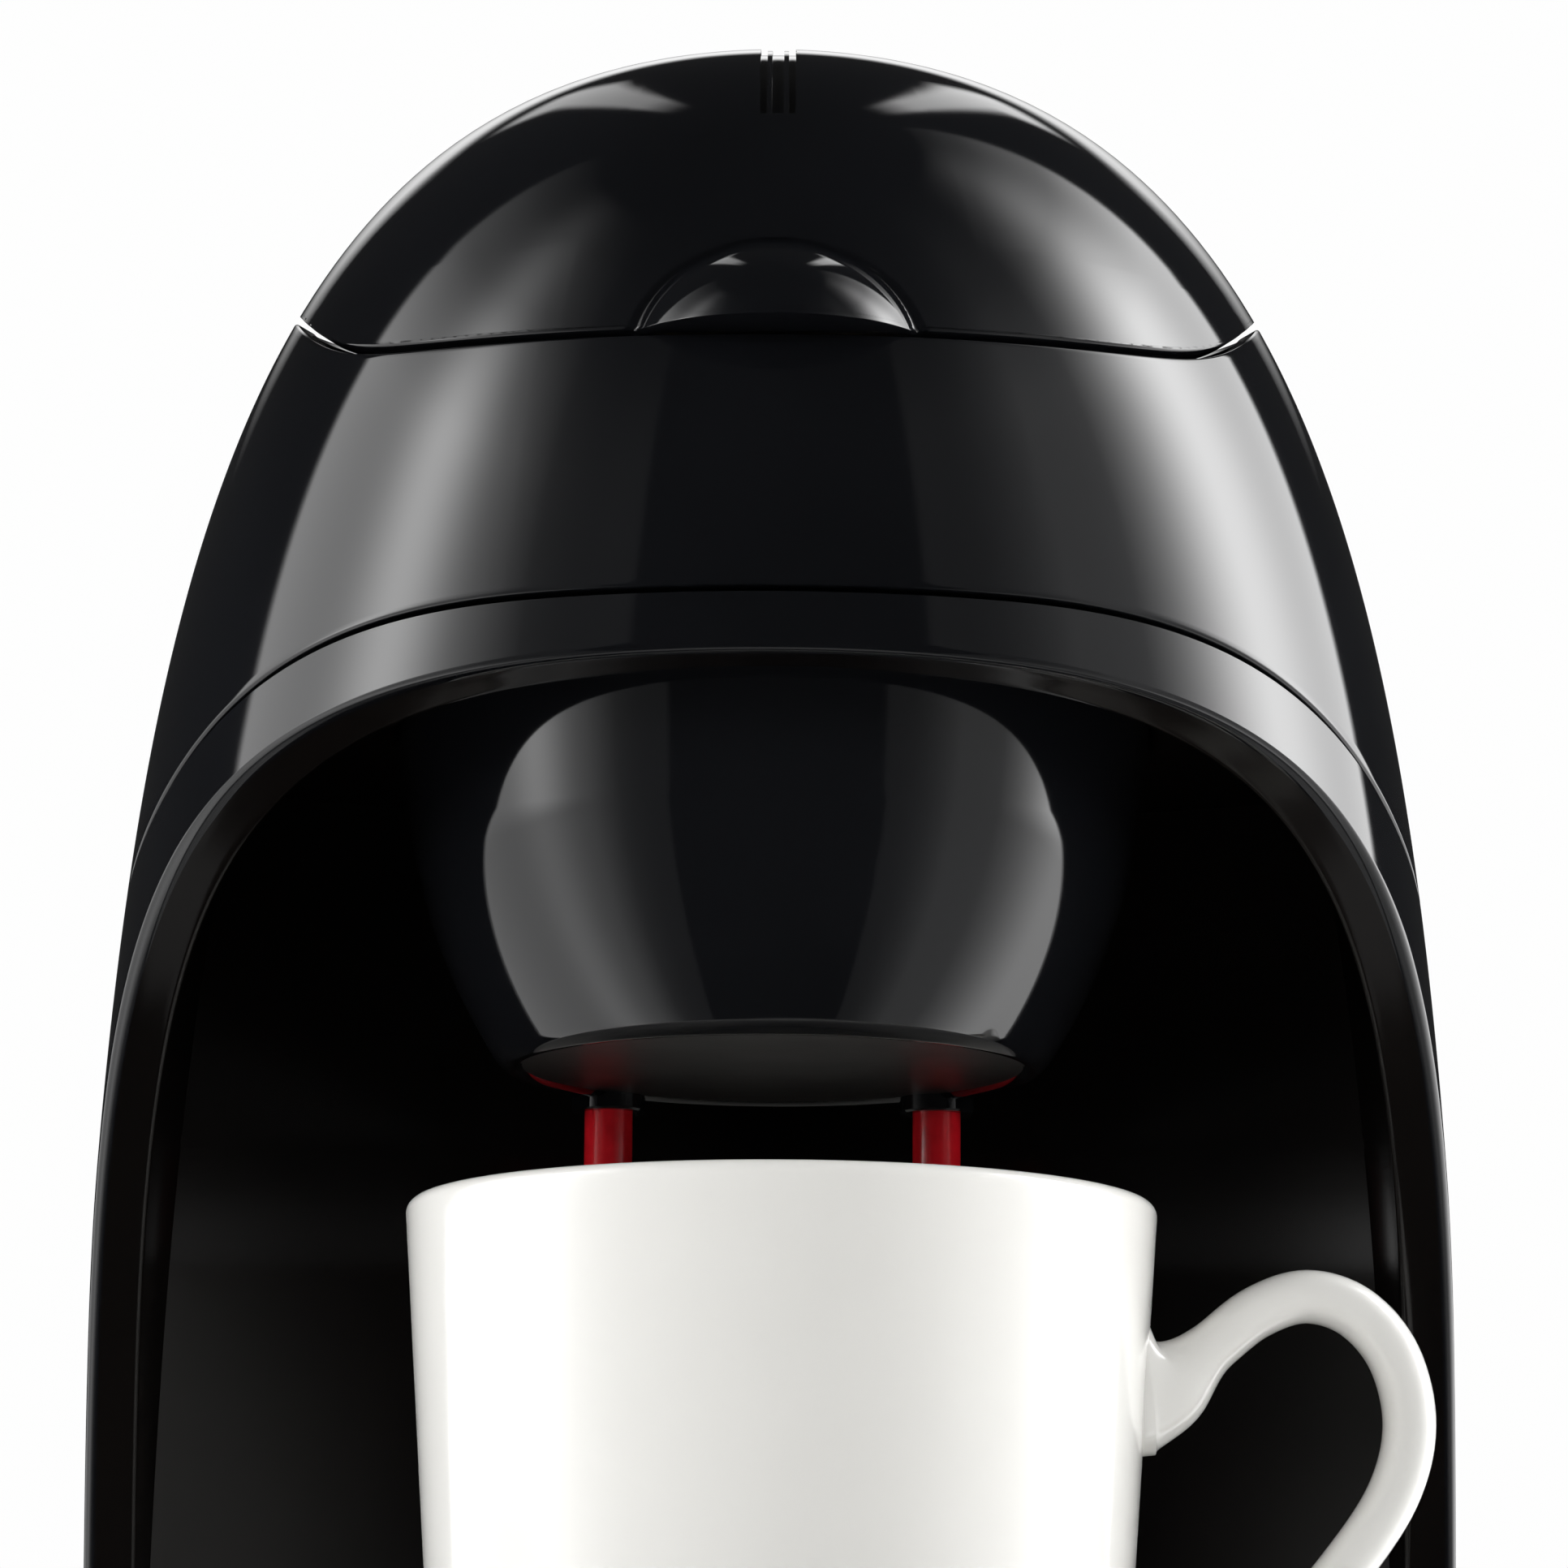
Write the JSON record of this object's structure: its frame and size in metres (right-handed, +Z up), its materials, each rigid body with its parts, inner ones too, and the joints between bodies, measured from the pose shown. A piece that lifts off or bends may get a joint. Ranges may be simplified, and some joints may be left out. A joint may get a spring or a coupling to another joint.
{
  "type": "drip coffee maker",
  "caption": "Single-serve drip coffee maker with a domed hinged lid, an arched mug bay, a lift-out filter basket and a white mug.",
  "frame": {"origin": "centre of the footprint on the table, under the middle of the body", "axes": "+Z up, front (bay and switch) faces -Y, +X to the right as seen from the front, mug handle on +X"},
  "size_m": [0.1428, 0.1428, 0.222],
  "materials": {
    "gloss_black": "glossy",
    "matte_black": "fine texture",
    "screw_steel": "zinc plated",
    "tank_plastic": "smoke, satin",
    "pale_silicone": "translucent silicone",
    "foot_rubber": "matt",
    "plate_plastic": "ribbed",
    "heater_aluminium": "cast",
    "element_steel": "satin",
    "cream_ceramic": "phenolic",
    "fuse_sleeve": "glass-fibre sleeve",
    "natural_plastic": "natural",
    "wire_red": "silicone sleeve",
    "rocker_red": "translucent",
    "lamp_glass": "clear",
    "spout_red": "translucent silicone",
    "filter_grey": "satin",
    "mesh_gold": "woven mesh",
    "mug_glaze": "glazed stoneware"
  },
  "bodies": {
    "housing": {"hood": "gloss_black", "tower": "gloss_black", "top_deck": "matte_black", "deck_screws": "screw_steel", "water_tank": "tank_plastic", "tank_grommet": "pale_silicone", "riser_tube": "pale_silicone", "water_spout": "matte_black", "hinge_pin": "screw_steel", "base_shell": "gloss_black", "base_plate": "matte_black", "base_screws": "screw_steel", "rubber_feet": "foot_rubber", "cup_plate": "plate_plastic", "heater_block": "heater_aluminium", "heating_element": "element_steel", "heater_bracket": "screw_steel", "thermostat": "cream_ceramic", "thermal_fuses": "fuse_sleeve", "check_valve": "natural_plastic", "cold_hose": "pale_silicone", "hot_hose": "pale_silicone", "terminal_block": "cream_ceramic", "wiring": "wire_red", "cord_gland": "matte_black", "switch_case": "matte_black", "switch_bezel": "matte_black", "pilot_lamp": "lamp_glass"},
    "lid": {"lid_shell": "gloss_black", "lid_liner": "matte_black", "steam_baffle": "matte_black", "liner_screws": "screw_steel"},
    "rocker": {"power_rocker": "rocker_red"},
    "basket": {"filter_basket": "gloss_black", "drip_spouts": "spout_red"},
    "filter": {"filter_rim": "filter_grey", "filter_ribs": "filter_grey", "filter_mesh": "mesh_gold"},
    "mug": {"mug": "mug_glaze"}
  },
  "joints": [
    {"name": "lid_hinge", "type": "hinge", "parent": "housing", "child": "lid", "pos_m": [0, 0.0475, 0.2036], "axis": [-1, 0, 0], "range_deg": [0, 95]},
    {"name": "rocker_pivot", "type": "hinge", "parent": "housing", "child": "rocker", "pos_m": [0, -0.0639, 0.0135], "axis": [0, 0, 1], "range_deg": [0, 14]},
    {"name": "basket_lift", "type": "slide", "parent": "housing", "child": "basket", "axis": [0, 0, 1], "range_m": [0, 0.006]},
    {"name": "filter_lift", "type": "slide", "parent": "basket", "child": "filter", "axis": [0, 0, 1], "range_m": [0, 0.005]},
    {"name": "mug_out", "type": "slide", "parent": "housing", "child": "mug", "axis": [0, -1, 0], "range_m": [0, 0.16]}
  ]
}
